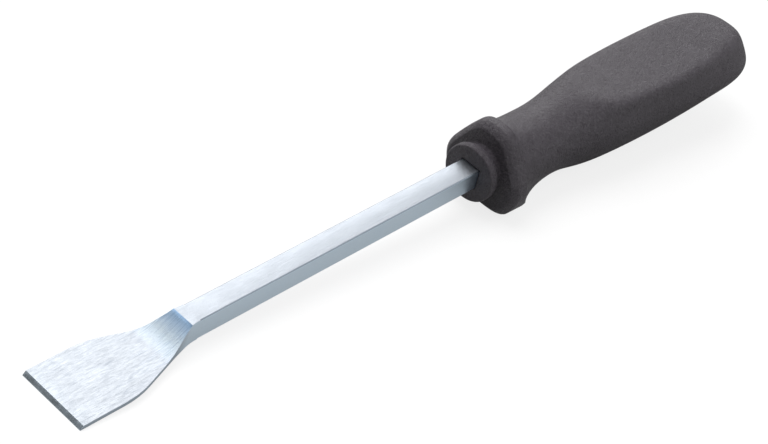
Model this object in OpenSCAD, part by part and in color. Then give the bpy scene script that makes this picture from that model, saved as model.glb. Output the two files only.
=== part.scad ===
// Flat scraper: a forged steel blade on a square bar, in a moulded plastic handle.
// It lies at rest on its cutting edge and on the flat underside of the handle's flange.
// The shapes are drawn along the tool's own axis: +X from the cutting edge to the handle,
// +Y to the left and +Z up. The whole tool is then tipped down onto its cutting edge.

/* [Blade] */
// Width of the blade and of its cutting edge
blade_w = 26; // [16:0.5:40]
// Thickness of the flat blade
blade_t = 1.4; // [1:0.1:3]
// Height of the blade's underside above the bar's underside
blade_lift = 0.9; // [0:0.1:2]
// Length of the blade with parallel sides
parallel_l = 16.5; // [8:0.5:24]
// Radius of the shoulder where the blade starts to narrow
shoulder_r = 34; // [20:1:40]
// Radius of the hollow curve that runs the blade into the bar
neck_r = 18; // [8:1:24]
// Distance from the cutting edge to the full bar
neck_x = 52; // [48:0.5:70]
// Length of the ground bevel along the tool
bevel_l = 1.15; // [0.5:0.05:4]
// Height of the blunt land below the bevel
land_h = 0.15; // [0.05:0.05:0.5]
// Slope of the ground ramp from the blade up to the bar, in degrees
ramp_angle = 31; // [20:1:50]
// Distance by which the ramp's top edge lies ahead of the full bar
ramp_lead = 3.4; // [1:0.1:8]
// Radius of the hollow at the foot of the ramp
ramp_r = 14; // [4:1:20]

/* [Bar] */
// Width across the flats of the square bar
bar_w = 8; // [6:0.5:12]
// Distance from the cutting edge to the handle's front
bar_reach = 177.2; // [120:0.2:260]
// Chamfer that stands for the rounded edges of the drawn bar
bar_edge = 0.35; // [0.1:0.05:0.8]
// Length of the tang inside the handle
tang_l = 40; // [30:1:110]
// Clearance around the tang in its moulded socket
tang_clearance = 0.05; // [0.02:0.01:0.3]

/* [Collar] */
// Diameter of the ring at the handle's front
collar_d = 21; // [18:0.2:26]
// Length of the ring
collar_l = 3.2; // [2:0.1:6]
// Rounding of the ring's edges
collar_round = 0.9; // [0.3:0.1:1]
// Diameter of the groove behind the ring
groove_d = 17.6; // [14:0.2:17.8]
// Distance from the handle's front to the flange
flange_x = 6.5; // [5.5:0.1:14]

/* [Flange] */
// Greatest width of the flange
flange_w = 36.4; // [28:0.2:44]
// Width of the flat on top of the flange
flange_top_w = 12.6; // [8:0.2:22]
// Height of the flange's top above the axis
flange_top = 17; // [14:0.1:20]
// Width of the flat underneath the flange
flange_foot_w = 26; // [16:0.2:30]
// Depth of the flange's flat underside below the axis, at its front
flange_drop = 15; // [14:0.1:20]
// Depth of the flange's widest line below the axis
flange_sag = 2.1; // [0:0.1:5]
// Thickness of the flange at its top and sides
flange_t = 5.9; // [4:0.1:9]
// Length of the flat underneath the flange
flange_foot_l = 10.3; // [9:0.1:14]
// Rounding of the flange's front rim
rim_r = 2.6; // [1:0.1:3.5]
// Sharpness of the flange's corners
flange_power = 8.4; // [6:0.2:16]

/* [Waist] */
// Distance from the handle's front to the narrowest place of the waist
waist_x = 34.5; // [30:0.5:44]
// Width of the oval waist
waist_w = 24; // [20:0.2:30]
// Height of the waist's top above its middle
waist_top = 10.5; // [9:0.1:13]
// Depth of the waist's underside below its middle
waist_drop = 12.2; // [9:0.1:13]
// Squareness of the oval waist
waist_power = 3.1; // [2:0.1:5]
// Radius of the scoop that flares the waist's sides out to the grip
side_flare_r = 78; // [50:1:160]
// Radius of the scoop that flares the waist's top out to the grip
top_flare_r = 150; // [80:1:220]
// Radius of the scoop that flares the waist's underside out to the grip
foot_flare_r = 60; // [40:1:120]

/* [Grip] */
// Distance from the handle's front to the grip's swell, where the six faces begin
swell_x = 57.8; // [50:0.2:70]
// Greatest width of the grip at its swell
swell_w = 35.2; // [28:0.2:44]
// Width of the flat faces above and below the swell
swell_face_w = 22.6; // [14:0.2:28]
// Thickness of the grip at its swell
swell_h = 26; // [20:0.2:32]
// Greatest width of the middle of the grip
grip_w = 36.6; // [28:0.2:44]
// Width of the flat faces above and below the middle of the grip
grip_face_w = 28.6; // [18:0.2:32]
// Thickness of the middle of the grip between its flat faces
grip_h = 22; // [18:0.2:30]
// Distance by which the grip's middle lies below the bar's axis
grip_drop = 0.6; // [0:0.1:2]

/* [Tail] */
// Overall length of the handle
handle_l = 149.4; // [140:0.2:180]
// Width that the grip spreads to at the tail, before its end is rounded
tail_w = 41.4; // [30:0.2:46]
// Width that the flat faces run to at the tail
tail_face_w = 24.8; // [16:0.2:32]
// Thickness that the grip runs to at the tail
tail_h = 21.2; // [16:0.2:28]
// Distance from the tail's end to the place where it would have that width and thickness
tail_lead = 11.6; // [4:0.2:20]
// Length over which the width rounds off at the tail
tail_side_l = 31.5; // [10:0.5:40]
// Length over which the thickness rounds off at the tail
tail_top_l = 48.5; // [20:0.5:60]
// Squareness of the rounded tail seen from above
tail_side_power = 2.7; // [1.6:0.05:4]
// Squareness of the rounded tail seen from the side
tail_top_power = 4.9; // [1.6:0.1:6]
// Sharpness of the grip's long edges
edge_power = 14; // [8:1:24]

/* [Hidden] */
arc_step = 6;
ring_points = 96;
collar_fn = 96;

// How quickly the flange falls to the waist behind its sides and behind its foot
side_ease = 0.22;
foot_ease = 0.5;

// Heights on the tool's axis, and the places where the shapes change
bar_h = bar_w / 2;
blade_foot = blade_lift - bar_h;
blade_head = blade_foot + blade_t;
ramp_x = neck_x - ramp_lead;
bar_end = bar_reach + tang_l;
flange_front = bar_reach + flange_x;
flange_mid = flange_front + rim_r;

// Angle and shift that lay the tool on its cutting edge and its flange
rest_tilt = atan((blade_foot + flange_drop) / flange_mid);
floor_drop = blade_foot * cos(rest_tilt);

function clamp01(t) = min(1, max(0, t));
function ease(t) = t * t * (3 - 2 * t);
function arc(centre, r, from, to) =
    let (steps = max(2, ceil(abs(to - from) / arc_step)))
    [for (i = [0 : steps])
        let (a = from + (to - from) * i / steps)
        centre + r * [cos(a), sin(a)]];

// The shoulder and neck arcs share one straight tangent: this is its slope
shoulder_centre = [parallel_l, blade_w / 2 - shoulder_r];
neck_centre = [neck_x, bar_h + neck_r];
arc_gap = neck_centre - shoulder_centre;
flare_angle = asin((shoulder_r + neck_r) / norm(arc_gap)) - atan2(arc_gap.y, arc_gap.x);

// Half of the blade's outline from above, from the cutting edge to the full bar
flare_side = concat(
    [[0, blade_w / 2]],
    arc(shoulder_centre, shoulder_r, 90, 90 - flare_angle),
    arc(neck_centre, neck_r, 270 - flare_angle, 270));

// Top of the blade from the side: bevel, flat, hollow, then the ramp to the bar
ramp_foot = ramp_x - (bar_h - blade_head) / tan(ramp_angle);
ramp_tangent = ramp_r * tan(ramp_angle / 2);
blade_top = concat(
    [[0, blade_foot + land_h], [bevel_l, blade_head]],
    arc([ramp_foot - ramp_tangent, blade_head + ramp_r], ramp_r, 270, 270 + ramp_angle),
    [[ramp_x, bar_h], [neck_x, bar_h]]);

// Underside of the blade from the side: an easy step down to the bar
step_from = ramp_foot;
blade_under = [for (i = [8 : -1 : 0])
    [step_from + (neck_x - step_from) * i / 8, blade_foot + (-bar_h - blade_foot) * ease(i / 8)]];

// Blade, bar and tang: one forging
module blade() {
    color([0.86, 0.88, 0.9]) at_rest() union() {
        intersection() {
            translate([0, 0, -bar_w]) linear_extrude(2 * bar_w)
                polygon(concat(flare_side, [for (i = [len(flare_side) - 1 : -1 : 0])
                    [flare_side[i].x, -flare_side[i].y]]));
            translate([0, blade_w, 0]) rotate([90, 0, 0]) linear_extrude(2 * blade_w)
                polygon(concat(blade_top, blade_under, [[0, blade_foot]]));
        }
        bar(neck_x, bar_end, bar_w, bar_edge);
    }
}

// A square bar with chamfered edges from one place on the axis to another
module bar(from, to, width, edge) {
    translate([from, 0, 0]) rotate([90, 0, 90]) linear_extrude(to - from)
        polygon([for (turn = [0 : 90 : 270], side = [-1, 1])
            let (x = width / 2, y = side * (width / 2 - edge))
            [x * cos(turn) - y * sin(turn), x * sin(turn) + y * cos(turn)]]);
}

// A six-sided outline is given by half its top flat, height, half its width, the level of
// its widest line, half its foot flat and its depth. The flange's foot deepens to the rear,
// so that all of it lies on the table.
function flange_section(x) =
    let (foot = flange_drop + max(0, x - flange_x - rim_r) * tan(rest_tilt))
    [flange_top_w / 2, flange_top, flange_w / 2, -flange_sag, flange_foot_w / 2, foot];

// Rounding of a rim of radius r, as a share of the section's size
function rim(x, r, size) = let (t = 1 - clamp01(x / r)) 1 - r * (1 - sqrt(1 - t * t)) / size;
function tail_round(x, length, power) =
    pow(max(0, 1 - pow(clamp01((x - handle_l + length) / length), power)), 1 / power);

// A size that runs in one bow through its values at the swell, half way and at the tail
tail_x = handle_l - tail_lead;
function bow(x, swell, middle, tail) =
    let (t = min(1.2, max(-0.6, (x - swell_x) / (tail_x - swell_x))))
    swell * (1 - t) * (1 - 2 * t) + middle * 4 * t * (1 - t) + tail * t * (2 * t - 1);

// How far each face of a six-sided outline reaches towards [c, w], as one over the distance
function faces(s, c, w) =
    let (
        upper = [s[1] - s[3], s[2] - s[0]],
        lower = [s[5] + s[3], s[4] - s[2]],
        upper_d = upper * [s[2], s[3]],
        lower_d = lower * [s[2], s[3]])
    [w / s[1], -w / s[5], ([c, w] * upper) / upper_d, ([c, w] * lower) / lower_d,
        ([-c, w] * upper) / upper_d, ([-c, w] * lower) / lower_d];
function soft_reach(terms, power) =
    pow([for (f = terms) 1] * [for (f = terms) pow(max(0, f), power)], -1 / power);

// The grip: six faces that run the whole length, cut back at the front by the oval waist
function grip_reach(x, c, w) =
    let (
        face = bow(x, swell_face_w, grip_face_w, tail_face_w) / 2,
        high = bow(x, swell_h, grip_h, tail_h) / 2,
        wide = bow(x, swell_w, grip_w, tail_w) / 2,
        rise = pow(max(0, x - waist_x), 2) / 2,
        side = waist_w / 2 + rise / side_flare_r,
        up = w > 0 ? waist_top + rise / top_flare_r : waist_drop + rise / foot_flare_r,
        oval = pow(pow(c / side, waist_power) + pow(abs(w) / up, waist_power), 1 / waist_power))
    soft_reach(concat(faces([face, high, wide, 0, face, high], c, w), [oval]), edge_power);

// How far the flange has fallen to the waist, at a distance x behind the handle's front
function fall(x, w) =
    let (
        foot = ease(clamp01((-w - 0.25) / 0.35)),
        from = flange_x + flange_t + (flange_foot_l - flange_t) * foot,
        t = clamp01((x - from) / (waist_x - from)))
    ease(pow(t, side_ease + (foot_ease - side_ease) * foot));

// The handle's point at a distance x behind its front and at an angle from +Y
function skin(x, angle) =
    let (
        c = abs(cos(angle)),
        w = sin(angle),
        front = rim(x - flange_x, rim_r, flange_w / 2),
        down = fall(x, w),
        flange_r = soft_reach(faces(flange_section(x), c, w), flange_power) * (1 - down),
        grip_r = grip_reach(x, c, w) * down,
        y = (flange_r + grip_r) * cos(angle) * front * tail_round(x, tail_side_l, tail_side_power),
        z = ((flange_r + grip_r) * w - grip_drop * down) * front * tail_round(x, tail_top_l, tail_top_power))
    [bar_reach + x, y, z];

// Places along the handle where a ring of points is drawn
fall_x = flange_x + flange_t;
full_x = swell_x + 8;
close_x = handle_l - tail_side_l;
stations = concat(
    [for (i = [0 : 3]) flange_x + rim_r * (1 - cos(30 * i))],
    [for (i = [0 : 12]) fall_x + (waist_x - fall_x) * pow(i / 13, 2.2)],
    [for (i = [0 : 11]) waist_x + (full_x - waist_x) * i / 12],
    [for (i = [0 : 6]) full_x + (close_x - full_x) * i / 7],
    [for (i = [0 : 15]) close_x + tail_side_l * sin(90 * i / 16)]);

rings = len(stations);
loft_points = concat(
    [for (x = stations, k = [0 : ring_points - 1]) skin(x, 360 * k / ring_points)],
    [[bar_reach + handle_l, 0, 0]]);
loft_faces = concat(
    [[for (k = [0 : ring_points - 1]) k]],
    [for (i = [0 : rings - 2], k = [0 : ring_points - 1], half = [0, 1])
        let (here = i * ring_points, there = here + ring_points, next = (k + 1) % ring_points)
        half == 0 ? [here + k, there + k, there + next] : [here + k, there + next, here + next]],
    [for (k = [0 : ring_points - 1])
        let (last = (rings - 1) * ring_points)
        [last + k, rings * ring_points, last + (k + 1) % ring_points]]);

// The handle: one moulding from the ring at its front to the rounded tail
module handle() {
    color([0.12, 0.12, 0.13]) at_rest() difference() {
        union() {
            polyhedron(points = loft_points, faces = loft_faces, convexity = 6);
            front_ring();
        }
        socket();
    }
}

// The ring at the front, its groove, and the neck that runs on into the flange
module front_ring() {
    outer = collar_d / 2;
    neck = groove_d / 2;
    lead = collar_l - collar_round;
    nose = [for (i = [0 : 5]) [outer - collar_round * (1 - sin(18 * i)), lead * (1 - cos(18 * i))]];
    back = [for (i = [0 : 4])
        [outer - collar_round * (1 - cos(22.5 * i)), lead + collar_round * sin(22.5 * i)]];
    run = flange_x + rim_r;
    translate([bar_reach, 0, 0]) rotate([0, 90, 0]) rotate_extrude($fn = collar_fn)
        polygon(concat([[0, 0]], nose, back, [[neck, collar_l], [neck, run], [0, run]]));
}

// The square socket in the handle, as deep as the tang is long
module socket() {
    bar(bar_reach - collar_round, bar_end, bar_w + 2 * tang_clearance, bar_edge);
}

// Lays the tool down and puts the middle of its footprint at the origin
tail_reach = max([for (p = loft_points) p.x * cos(rest_tilt) - p.z * sin(rest_tilt)]);
tip_reach = -(blade_foot + land_h) * sin(rest_tilt);
module at_rest() {
    translate([-(tail_reach + tip_reach) / 2, 0, -floor_drop]) rotate([0, -rest_tilt, 0]) children();
}

blade();
handle();
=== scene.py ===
import bpy, bmesh
from math import atan, cos, pi, radians, sin, sqrt, tan
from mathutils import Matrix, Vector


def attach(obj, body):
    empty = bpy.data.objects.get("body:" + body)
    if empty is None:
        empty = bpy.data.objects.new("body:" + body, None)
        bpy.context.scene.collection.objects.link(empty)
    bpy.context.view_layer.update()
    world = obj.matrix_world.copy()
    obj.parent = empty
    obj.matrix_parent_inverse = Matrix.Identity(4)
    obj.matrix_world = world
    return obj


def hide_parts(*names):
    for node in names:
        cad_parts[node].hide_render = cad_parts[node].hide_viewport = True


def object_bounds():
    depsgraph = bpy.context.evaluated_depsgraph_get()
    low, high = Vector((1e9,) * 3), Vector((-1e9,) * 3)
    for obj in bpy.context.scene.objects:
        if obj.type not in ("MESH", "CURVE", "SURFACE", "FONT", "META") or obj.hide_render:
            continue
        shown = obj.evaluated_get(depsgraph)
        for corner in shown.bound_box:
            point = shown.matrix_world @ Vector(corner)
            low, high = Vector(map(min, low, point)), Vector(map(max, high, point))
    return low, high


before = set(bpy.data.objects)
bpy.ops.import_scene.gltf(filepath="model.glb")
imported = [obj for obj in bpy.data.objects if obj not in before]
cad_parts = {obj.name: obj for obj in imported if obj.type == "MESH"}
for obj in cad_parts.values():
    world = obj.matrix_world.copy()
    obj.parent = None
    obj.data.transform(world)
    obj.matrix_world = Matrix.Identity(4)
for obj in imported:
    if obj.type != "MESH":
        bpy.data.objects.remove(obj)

cad_low, cad_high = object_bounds()

# The camera looks down on the scraper from in front of its blade and from its right side,
# with a long lens, as the photograph was taken.
camera = bpy.data.objects.new("camera", bpy.data.cameras.new("camera"))
bpy.context.scene.collection.objects.link(camera)
camera.data.sensor_width = 36
camera.data.lens = 93.76
camera.location = (-0.46014, -0.28221, 0.40236)
camera.rotation_euler = (0.898839, -0.241642, -0.805509)
camera.data.clip_start = 0.05
camera.data.clip_end = 20
bpy.context.scene.camera = camera


# Blade and bar: one steel forging. The square bar is hammered out wide and flat at its
# front end, a ramp is ground behind the flat and a bevel on the cutting edge, and the
# whole forging is then zinc plated. Its tang is pressed into the handle.
broken_edge = 0.00016
sharp_angle = radians(18)
crease_angle = radians(14)
blade_mesh = bmesh.new()
blade_mesh.from_mesh(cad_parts["blade"].data)
bmesh.ops.remove_doubles(blade_mesh, verts=blade_mesh.verts, dist=1e-6)
bmesh.ops.dissolve_limit(blade_mesh, angle_limit=radians(0.5), verts=blade_mesh.verts,
                         edges=blade_mesh.edges)
sharp_edges = [edge for edge in blade_mesh.edges
               if len(edge.link_faces) == 2 and edge.calc_face_angle() > sharp_angle]
bmesh.ops.bevel(blade_mesh, geom=sharp_edges, offset=broken_edge, offset_type="OFFSET",
                segments=2, profile=0.5, affect="EDGES", clamp_overlap=True, material=-1)
bmesh.ops.triangulate(blade_mesh, faces=blade_mesh.faces)
for face in blade_mesh.faces:
    face.smooth = True
for edge in blade_mesh.edges:
    edge.smooth = len(edge.link_faces) == 2 and edge.calc_face_angle() < crease_angle
blade_data = bpy.data.meshes.new("forged_blade")
blade_mesh.to_mesh(blade_data)
blade_mesh.free()
blade = bpy.data.objects.new("forged_blade", blade_data)
bpy.context.scene.collection.objects.link(blade)

zinc = bpy.data.materials.new("zinc_plate")
zinc.use_nodes = True
nodes, links = zinc.node_tree.nodes, zinc.node_tree.links
shader = nodes["Principled BSDF"]
shader.inputs["Metallic"].default_value = 1
place = nodes.new("ShaderNodeTexCoord")


def noise(nodes, links, place, stretch, scale, detail, rough=0.5):
    """Noise on the piece's own coordinates, drawn out along X, Y and Z as stretch says."""
    fit = nodes.new("ShaderNodeMapping")
    fit.inputs["Scale"].default_value = stretch
    links.new(place.outputs["Object"], fit.inputs["Vector"])
    made = nodes.new("ShaderNodeTexNoise")
    made.inputs["Scale"].default_value = scale
    made.inputs["Detail"].default_value = detail
    made.inputs["Roughness"].default_value = rough
    links.new(fit.outputs[0], made.inputs["Vector"])
    return made.outputs["Fac"]


def spread(nodes, links, value, low, high, to_low=0, to_high=1):
    """The part of value between low and high, drawn out to the range to_low to to_high."""
    made = nodes.new("ShaderNodeMapRange")
    links.new(value, made.inputs["Value"])
    limits = {"From Min": low, "From Max": high, "To Min": to_low, "To Max": to_high}
    for name, number in limits.items():
        made.inputs[name].default_value = number
    return made.outputs[0]


def share(nodes, links, one, other, how="MULTIPLY"):
    """A value worked out from one and another, or from one and a fixed number."""
    made = nodes.new("ShaderNodeMath")
    made.operation = how
    links.new(one, made.inputs[0])
    if isinstance(other, (int, float)):
        made.inputs[1].default_value = other
    else:
        links.new(other, made.inputs[1])
    return made.outputs[0]


def blend(nodes, links, factor, first, second):
    """A colour that goes from first to second, each a fixed colour or another node's output."""
    made = nodes.new("ShaderNodeMix")
    made.data_type = "RGBA"
    links.new(factor, made.inputs["Factor"])
    for name, colour in (("A", first), ("B", second)):
        if isinstance(colour, tuple):
            made.inputs[name].default_value = colour + (1,)
        else:
            links.new(colour, made.inputs[name])
    return made.outputs["Result"]


# places where the finish changes, in metres back from the cutting edge
cutting_edge = cad_low[0]
scoring_start = cutting_edge + 0.02595
side_start = cutting_edge + 0.04095
ramp_foot = cutting_edge + 0.04225
bar_start = cutting_edge + 0.04695
ramp_top = cutting_edge + 0.04775
scoring_end = cutting_edge + 0.04835
bar_full = cutting_edge + 0.04895

strokes = noise(nodes, links, place, stretch=(0.25, 1, 1), scale=1500, detail=4, rough=0.6)
dashes = noise(nodes, links, place, stretch=(0.16, 1, 1), scale=900, detail=3, rough=0.6)
swells = noise(nodes, links, place, stretch=(0.5, 1, 1), scale=260, detail=2)
lines = noise(nodes, links, place, stretch=(0.02, 1, 0.02), scale=4400, detail=3, rough=0.65)
along = nodes.new("ShaderNodeSeparateXYZ")
links.new(place.outputs["Object"], along.inputs[0])
facing = nodes.new("ShaderNodeSeparateXYZ")
links.new(nodes.new("ShaderNodeNewGeometry").outputs["Normal"], facing.inputs[0])
sideways = nodes.new("ShaderNodeMath")
sideways.operation = "ABSOLUTE"
links.new(facing.outputs["Y"], sideways.inputs[0])

# the flat is pale, with short rolled strokes and grey dashes, and the bar is plainer
flat_grey = (0.487, 0.522, 0.572)
flat_pale = (0.60, 0.636, 0.686)
dash_grey = (0.37, 0.41, 0.47)
bar_grey = (0.55, 0.59, 0.645)
bar_pale = (0.575, 0.615, 0.67)
rolled = blend(nodes, links, spread(nodes, links, strokes, 0.34, 0.6), flat_grey, flat_pale)
dashed = spread(nodes, links, dashes, 0.58, 0.72, 0, 0.6)
flat_tone = blend(nodes, links, dashed, rolled, dash_grey)
bar_tone = blend(nodes, links, spread(nodes, links, strokes, 0.3, 0.7), bar_grey, bar_pale)
on_bar = spread(nodes, links, along.outputs["X"], bar_start, bar_full)
pale = blend(nodes, links, on_bar, flat_tone, bar_tone)

# painted reflection gives the sideways faces a cooler tone, and painted shade darkens the upper
# chamfers
blade_side_reflection = (0.42, 0.49, 0.56)
bar_side_reflection = (0.68, 0.805, 0.91)
edge_shade_colour = (0.16, 0.19, 0.23)
on_bar_side = spread(nodes, links, along.outputs["X"], side_start, bar_start)
side_reflection = blend(nodes, links, on_bar_side, blade_side_reflection, bar_side_reflection)
on_side = spread(nodes, links, sideways.outputs[0], 0.2, 0.8)
# the sideways faces take the painted reflection, dark on the blade and pale on the bar
drawn = blend(nodes, links, on_side, pale, side_reflection)
# painted shade: a dark tone on the chamfers, the faces turned both sideways and up
arris = share(nodes, links, spread(nodes, links, sideways.outputs[0], 0.35, 0.6, 0, 0.8),
              spread(nodes, links, facing.outputs["Z"], 0.4, 0.6))
with_edge_shade = blend(nodes, links, arris, drawn, edge_shade_colour)

# painted reflection makes the ramp pale at its foot and blue-grey, darkest at its top
ramp_foot_reflection = (0.75, 0.865, 0.96)
ramp_top_reflection = (0.35, 0.52, 0.74)
scored_blue = (0.12, 0.25, 0.45)
sloped = spread(nodes, links, facing.outputs["X"], -0.12, -0.5)
climb = spread(nodes, links, along.outputs["X"], ramp_foot, ramp_top)
with_ramp_reflection = blend(nodes, links, sloped, with_edge_shade, blend(nodes, links, climb, ramp_foot_reflection, ramp_top_reflection))
# the ramp's grinding lines run on over the flat
reach = spread(nodes, links, along.outputs["X"], scoring_start, bar_start, 0, 0.56)
end = spread(nodes, links, along.outputs["X"], ramp_top, scoring_end, 1, 0)
upward = share(nodes, links, end, spread(nodes, links, sideways.outputs[0], 0.3, 0.5, 1, 0))
scored = share(nodes, links, share(nodes, links, reach, upward),
               spread(nodes, links, lines, 0.53, 0.65))
links.new(blend(nodes, links, scored, with_ramp_reflection, scored_blue), shader.inputs["Base Color"])
links.new(spread(nodes, links, swells, 0.3, 0.7, 0.3, 0.42), shader.inputs["Roughness"])
relief = nodes.new("ShaderNodeBump")
relief.inputs["Strength"].default_value = 0.35
relief.inputs["Distance"].default_value = 0.0002
links.new(share(nodes, links, strokes, lines, "ADD"), relief.inputs["Height"])
links.new(relief.outputs["Normal"], shader.inputs["Normal"])
blade_data.materials.append(zinc)
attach(blade, "root")
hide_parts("blade")


# Handle: one black plastic moulding with a fine matt texture from its mould. Behind a ring,
# a groove and a flange it has an oval waist, which flares out into a flattened six-sided
# grip with a rounded tail. Its square socket is driven onto the forging's tang.
around = 240
turns = [2 * pi * k / around for k in range(around)]
crease_angle = radians(32)

# the handle's sizes are in millimetres, and places are counted back from its front
handle_length = 149.4
socket_depth = 40
socket_half = 4.05
socket_lead = 0.3
ring_back = 3.2
ring_radius = 10.5
ring_nose = 0.8
ring_nose_height = 0.7
groove_radius = 8.8
small_round = 0.6

# the flange: half its top flat, its height, half its width, the level of its widest line,
# half its foot flat and its depth, then where it starts and falls away, and its front rim
flange_top = 6.3
flange_high = 17
flange_half = 18.2
flange_level = -2.1
flange_foot = 13
flange_deep = 15
flange_power = 8.4
flange_front = 6.5
flange_back = 12.4
flange_foot_back = 16.8
rim_round = 2.6
rim_power = 1.35
rim_inset = 0.98
rim_back = flange_front + rim_round

# the waist: half its width, its height and its depth, the radii of its flares, how quickly
# the flange falls to it behind its sides and behind its foot, and where its underside starts
waist_place = 35.8
waist_half = 13
waist_high = 11.6
waist_deep = 14.3
side_flare = 79
top_flare = 65
foot_flare = 28
side_fall = 0.37
foot_fall = 0.45
under_start = 0.25
under_full = 0.6

# the grip: half its flats, half its thickness and half its width, each at the swell, half
# way along its bow and at the bow's end, and the sharpness of its edges
swell_place = 57.8
full_place = 66
bow_length = 80
bow_start = -0.6
grip_flats = (11.3, 14.3, 11.7)
grip_highs = (13, 11, 11.5)
grip_halves = (17.6, 18.3, 21.2)
grip_drop = 0.6
grip_power = 14

# the tail: the lengths over which its edges soften and its sides and its top round off
tail_soft_length = 36.6
tail_soft_power = 7
tail_side_length = 34.4
tail_side_power = 2.86
tail_top_length = 30.5
tail_top_power = 3.5
close_place = handle_length - tail_side_length

# the tool at rest lies on its cutting edge and on the flange's foot, with its middle over
# the origin, so its axis rises towards the tail
bar_reach = 177.2
edge_drop = 3.1
middle_reach = 163.1405
tilt = atan((flange_deep - edge_drop) / (bar_reach + rim_back))


def ease(t):
    """A share that goes from 0 to 1 with a soft start and a soft end."""
    return t * t * (3 - 2 * t)


def clamp(t):
    """The nearest number to t from 0 to 1."""
    return min(1, max(0, t))


def bow(x, swell, middle, tail):
    """A size that runs in one bow through its values at the swell, half way and at its end."""
    t = max(bow_start, (x - swell_place) / bow_length)
    return swell * (1 - t) * (1 - 2 * t) + middle * 4 * t * (1 - t) + tail * t * (2 * t - 1)


def faces(top, high, half, level, foot, deep, c, w):
    """How far the six faces of an outline reach towards (c, w), as one over the distance."""
    upper, lower = (high - level, half - top), (deep + level, foot - half)
    upper_d = upper[0] * half + upper[1] * level
    lower_d = lower[0] * half + lower[1] * level
    one_side = [(c * upper[0] + w * upper[1]) / upper_d, (c * lower[0] + w * lower[1]) / lower_d]
    other_side = [(w * upper[1] - c * upper[0]) / upper_d, (w * lower[1] - c * lower[0]) / lower_d]
    return [w / high, -w / deep] + one_side + other_side


def soft_reach(terms, power):
    """The distance to the skin, whose faces run softly into one another."""
    return sum(max(0, term) ** power for term in terms) ** (-1 / power)


def flange_reach(x, c, w):
    """The flange's six faces. Its foot runs on flush with the table behind the rim."""
    deep = flange_deep + max(0, x - rim_back) * tan(tilt)
    outline = faces(flange_top, flange_high, flange_half, flange_level, flange_foot, deep, c, w)
    return soft_reach(outline, flange_power)


def grip_reach(x, c, w):
    """The grip's six faces, cut back at the front by the oval waist and its flare."""
    flat, high, half = bow(x, *grip_flats), bow(x, *grip_highs), bow(x, *grip_halves)
    rise = max(0, x - waist_place) ** 2 / 2
    up = waist_high + rise / top_flare if w > 0 else waist_deep + rise / foot_flare
    oval = sqrt((c / (waist_half + rise / side_flare)) ** 2 + (w / up) ** 2)
    soft = ease(clamp((x - handle_length + tail_soft_length) / tail_soft_length))
    power = grip_power + (tail_soft_power - grip_power) * soft
    return soft_reach(faces(flat, high, half, 0, flat, high, c, w) + [oval], power)


def tail_round(x, length, power):
    """What is left of a size at x, where the tail rounds off over its last stretch."""
    return max(0, 1 - clamp((x - handle_length + length) / length) ** power) ** (1 / power)


def skin(x, angle):
    """The handle's surface at x mm behind its front, at an angle from +Y, from the flange on."""
    c, w = abs(cos(angle)), sin(angle)
    under = ease(clamp((-w - under_start) / (under_full - under_start)))
    start = flange_back + (flange_foot_back - flange_back) * under
    fall = side_fall + (foot_fall - side_fall) * under
    fallen = ease(clamp((x - start) / (waist_place - start)) ** fall)
    r = flange_reach(x, c, w) * (1 - fallen) + grip_reach(x, c, w) * fallen
    t = 1 - clamp((x - flange_front) / rim_round)
    rim = 1 - rim_round * (1 - (1 - t ** rim_power) ** (1 / rim_power)) / flange_half
    y = r * cos(angle) * rim * tail_round(x, tail_side_length, tail_side_power)
    z = (r * w - grip_drop * fallen) * rim * tail_round(x, tail_top_length, tail_top_power)
    return (y, z)


def round_ring(x, r):
    """A circle of points round the axis."""
    return [(x, r * cos(a), r * sin(a)) for a in turns]


def square_ring(x, half):
    """A square round the axis, with its points at the same angles as a round ring's."""
    reaches = [half / max(abs(cos(a)), abs(sin(a))) for a in turns]
    return [(x, r * cos(a), r * sin(a)) for r, a in zip(reaches, turns)]


def arc_rings(x, r, length, height, angles):
    """Round rings along an arc round (x, r), of that length along the axis and that height."""
    return [round_ring(x - length * cos(radians(a)), r + height * sin(radians(a))) for a in angles]


def lay(x, y, z):
    """A place on the handle, in mm, as it lies at rest in the frame."""
    reach = bar_reach + x
    return ((reach * cos(tilt) - z * sin(tilt) - middle_reach) / 1000, y / 1000,
            (reach * sin(tilt) + (z + edge_drop) * cos(tilt)) / 1000)


# out of the socket, over the ring, through the groove and up the front of the flange
rings = [square_ring(socket_depth, socket_half), square_ring(socket_lead, socket_half),
         square_ring(0, socket_half + socket_lead)]
rings += arc_rings(ring_nose, ring_radius - ring_nose_height, ring_nose, ring_nose_height,
                   range(0, 91, 10))
rings += arc_rings(ring_back - small_round, ring_radius - small_round, small_round, small_round,
                   range(90, 181, 15))
rings += [round_ring(ring_back, groove_radius + 0.4),
          round_ring(ring_back + 0.1, groove_radius + 0.1),
          round_ring(ring_back + 0.3, groove_radius),
          round_ring(flange_front - small_round, groove_radius)]
rings += arc_rings(flange_front - small_round, groove_radius + small_round, small_round,
                   small_round, (240, 210, 180))
rim_foot = [skin(flange_front, a) for a in turns]
rings += [[(flange_front, rim_inset * y, rim_inset * z) for y, z in rim_foot]]

# the skin's rings, closest together at the rim, behind the flange and at the tail
waist_rings, grip_rings, tail_rings = 36, 20, 44
crowding = 2.2
places = [rim_back - rim_round * cos(radians(a)) for a in range(0, 91, 9)]
places += [flange_back - gap for gap in (2.2, 1.1, 0.4, 0.1)]
places += [flange_back + (waist_place - flange_back) * (i / waist_rings) ** crowding
           for i in range(waist_rings)]
places += [waist_place + (full_place - waist_place) * i / waist_rings for i in range(waist_rings)]
places += [full_place + (close_place - full_place) * i / grip_rings for i in range(grip_rings)]
places += [close_place + tail_side_length * sin(pi / 2 * i / tail_rings) for i in range(tail_rings)]
rings += [[(x,) + skin(x, a) for a in turns] for x in places]

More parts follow.
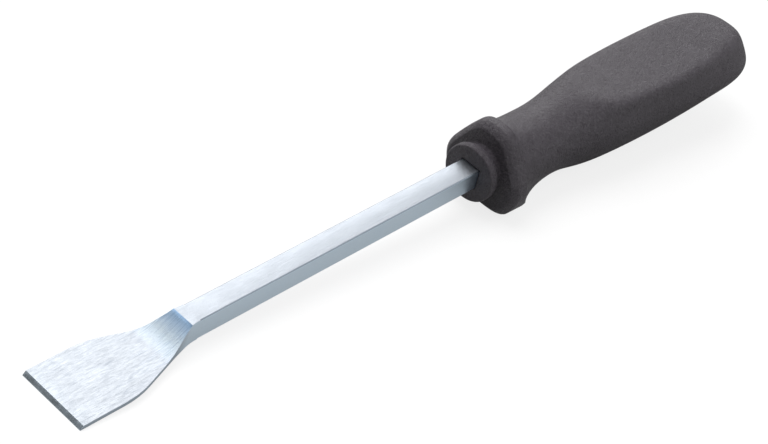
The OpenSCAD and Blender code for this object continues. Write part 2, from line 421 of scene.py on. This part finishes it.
# from ring to ring the points pair off by their angle, and a fan of faces closes each end
handle_mesh = bmesh.new()
grid = [[handle_mesh.verts.new(lay(*point)) for point in ring] for ring in rings]
pairs = [(k, (k + 1) % around) for k in range(around)]
for here, there in zip(grid, grid[1:]):
    for k, after in pairs:
        handle_mesh.faces.new((here[k], there[k], there[after], here[after]))
for ring, x in ((grid[0], socket_depth), (grid[-1][::-1], handle_length)):
    middle = handle_mesh.verts.new(lay(x, 0, 0))
    for k, after in pairs:
        handle_mesh.faces.new((middle, ring[k], ring[after]))
bmesh.ops.recalc_face_normals(handle_mesh, faces=handle_mesh.faces)
for face in handle_mesh.faces:
    face.smooth = True
for edge in handle_mesh.edges:
    edge.smooth = edge.calc_face_angle() < crease_angle
handle_data = bpy.data.meshes.new("moulded_handle")
handle_mesh.to_mesh(handle_data)
handle_mesh.free()
handle = bpy.data.objects.new("moulded_handle", handle_data)
bpy.context.scene.collection.objects.link(handle)

dark_plastic = (0.041, 0.034, 0.043)
grey_plastic = (0.069, 0.061, 0.073)
speck_grey = (0.135, 0.125, 0.135)
black = bpy.data.materials.new("matt_black_plastic")
black.use_nodes = True
nodes, links = black.node_tree.nodes, black.node_tree.links
shader = nodes["Principled BSDF"]
place = nodes.new("ShaderNodeTexCoord")
grain = noise(nodes, links, place, stretch=(1, 1, 1), scale=1100, detail=4, rough=0.75)
clouds = noise(nodes, links, place, stretch=(1, 1, 1), scale=420, detail=6, rough=0.8)
cloudy = spread(nodes, links, clouds, 0.38, 0.62)
black_tone = blend(nodes, links, cloudy, dark_plastic, grey_plastic)
specks = spread(nodes, links, grain, 0.55, 0.7, 0, 0.8)
links.new(blend(nodes, links, specks, black_tone, speck_grey), shader.inputs["Base Color"])
links.new(spread(nodes, links, grain, 0.35, 0.65, 0.24, 0.44), shader.inputs["Roughness"])
relief = nodes.new("ShaderNodeBump")
relief.inputs["Strength"].default_value = 1
relief.inputs["Distance"].default_value = 0.0007
links.new(grain, relief.inputs["Height"])
links.new(relief.outputs["Normal"], shader.inputs["Normal"])
handle_data.materials.append(black)
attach(handle, "root")
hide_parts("handle")


# The plain white floor of the studio, which keeps the soft shadow of the scraper. It shows
# as white to the camera; in reflections alone it glows, a painted pale card beside the blade
# that lights the bar's lower side, and more faintly further back.
floor_mesh = bmesh.new()
bmesh.ops.create_grid(floor_mesh, x_segments=1, y_segments=1, size=6)
floor_data = bpy.data.meshes.new("floor")
floor_mesh.to_mesh(floor_data)
floor_mesh.free()
floor = bpy.data.objects.new("floor", floor_data)
bpy.context.scene.collection.objects.link(floor)
floor_paint = (0.21, 0.21, 0.21, 1)
glow_patch_back = 0.01
glow_patch_fade = 0.06
glow_patch_strength = 0.3
glow_beyond_patch = 0.15
camera_glow = 0.79
white = bpy.data.materials.new("studio_white")
white.use_nodes = True
nodes, links = white.node_tree.nodes, white.node_tree.links
nodes.clear()
paint = nodes.new("ShaderNodeBsdfDiffuse")
paint.inputs["Color"].default_value = floor_paint
glow = nodes.new("ShaderNodeEmission")
glow.inputs["Color"].default_value = (1, 1, 1, 1)
path = nodes.new("ShaderNodeLightPath")
place = nodes.new("ShaderNodeTexCoord")
floor_place = nodes.new("ShaderNodeSeparateXYZ")
links.new(place.outputs["Object"], floor_place.inputs[0])
# painted reflection: a glow on the floor that only glossy rays see, brightest beside the blade
glow_patch = spread(nodes, links, floor_place.outputs["X"], glow_patch_back, glow_patch_back + glow_patch_fade,
              1, glow_beyond_patch)
seen = share(nodes, links, path.outputs["Is Glossy Ray"],
             path.outputs["Is Transmission Ray"], "MAXIMUM")
mirrored = share(nodes, links, share(nodes, links, seen, glow_patch), glow_patch_strength)
shown = share(nodes, links, path.outputs["Is Camera Ray"], camera_glow)
links.new(share(nodes, links, shown, mirrored, "ADD"), glow.inputs["Strength"])
both = nodes.new("ShaderNodeAddShader")
links.new(paint.outputs[0], both.inputs[0])
links.new(glow.outputs[0], both.inputs[1])
out = nodes.new("ShaderNodeOutputMaterial")
links.new(both.outputs[0], out.inputs["Surface"])
floor_data.materials.append(white)


# Soft studio light: a wide pale screen above and behind the scraper with a brighter box in it,
# a low strip behind the handle that draws its edges, one grey wall far behind the blade and
# one on the right, and a lamp overhead that lays the soft shadow.
world = bpy.data.worlds.new("studio")
bpy.context.scene.world = world
world.use_nodes = True
nodes, links = world.node_tree.nodes, world.node_tree.links
sky = nodes["Background"]
sky.inputs["Color"].default_value = (1, 1, 1, 1)
way = nodes.new("ShaderNodeTexCoord")
heading = nodes.new("ShaderNodeSeparateXYZ")
links.new(way.outputs["Generated"], heading.inputs[0])


def lobe(nodes, links, way, aim, power, strength):
    """Light that is strongest towards aim and fades off it; a higher power makes it narrower."""
    towards = nodes.new("ShaderNodeVectorMath")
    towards.operation = "DOT_PRODUCT"
    towards.inputs[1].default_value = aim
    links.new(way.outputs["Generated"], towards.inputs[0])
    lit = spread(nodes, links, towards.outputs["Value"], 0, 1)
    return share(nodes, links, share(nodes, links, lit, power, "POWER"), strength)


screen = lobe(nodes, links, way, aim=(0.35, 0.45, 0.82), power=2, strength=0.94)
box = lobe(nodes, links, way, aim=(0.35, 0.46, 0.82), power=4, strength=0.98)
far_wall = lobe(nodes, links, way, aim=(-0.35, 0.85, 0.39), power=10, strength=0.45)
strip = lobe(nodes, links, way, aim=(0.7, 0.7, 0.14), power=14, strength=2.2)

# the high lights fade towards the front and off both ends, and the wall on the right fades
# towards the back and towards the blade
behind = spread(nodes, links, heading.outputs["Y"], 0, 0.42, 0.05, 1)
ends = share(nodes, links, spread(nodes, links, heading.outputs["X"], 0.55, 0.8, 1, 0.12),
             spread(nodes, links, heading.outputs["X"], -0.79, -0.48, 0.03, 1))
above = share(nodes, links, share(nodes, links, screen, box, "ADD"), far_wall, "ADD")
high_light = share(nodes, links, above, share(nodes, links, behind, ends))
wall = share(nodes, links, spread(nodes, links, heading.outputs["Y"], 0.1, -0.4, 0.08, 1.13),
             spread(nodes, links, heading.outputs["X"], -0.7, 0.3, 0.16, 1))
low_light = share(nodes, links, strip, wall, "ADD")
links.new(share(nodes, links, high_light, low_light, "ADD"), sky.inputs["Strength"])

lamp = bpy.data.objects.new("overhead_lamp", bpy.data.lights.new("overhead_lamp", "AREA"))
bpy.context.scene.collection.objects.link(lamp)
lamp.data.shape = "SQUARE"
lamp.data.size = 0.7
lamp.data.energy = 6
lamp.location = (-0.1, 0.35, 0.9)
lamp.rotation_euler = (-lamp.location).to_track_quat("-Z", "Y").to_euler()
lamp.visible_glossy = False
bpy.context.scene.view_settings.view_transform = "Standard"
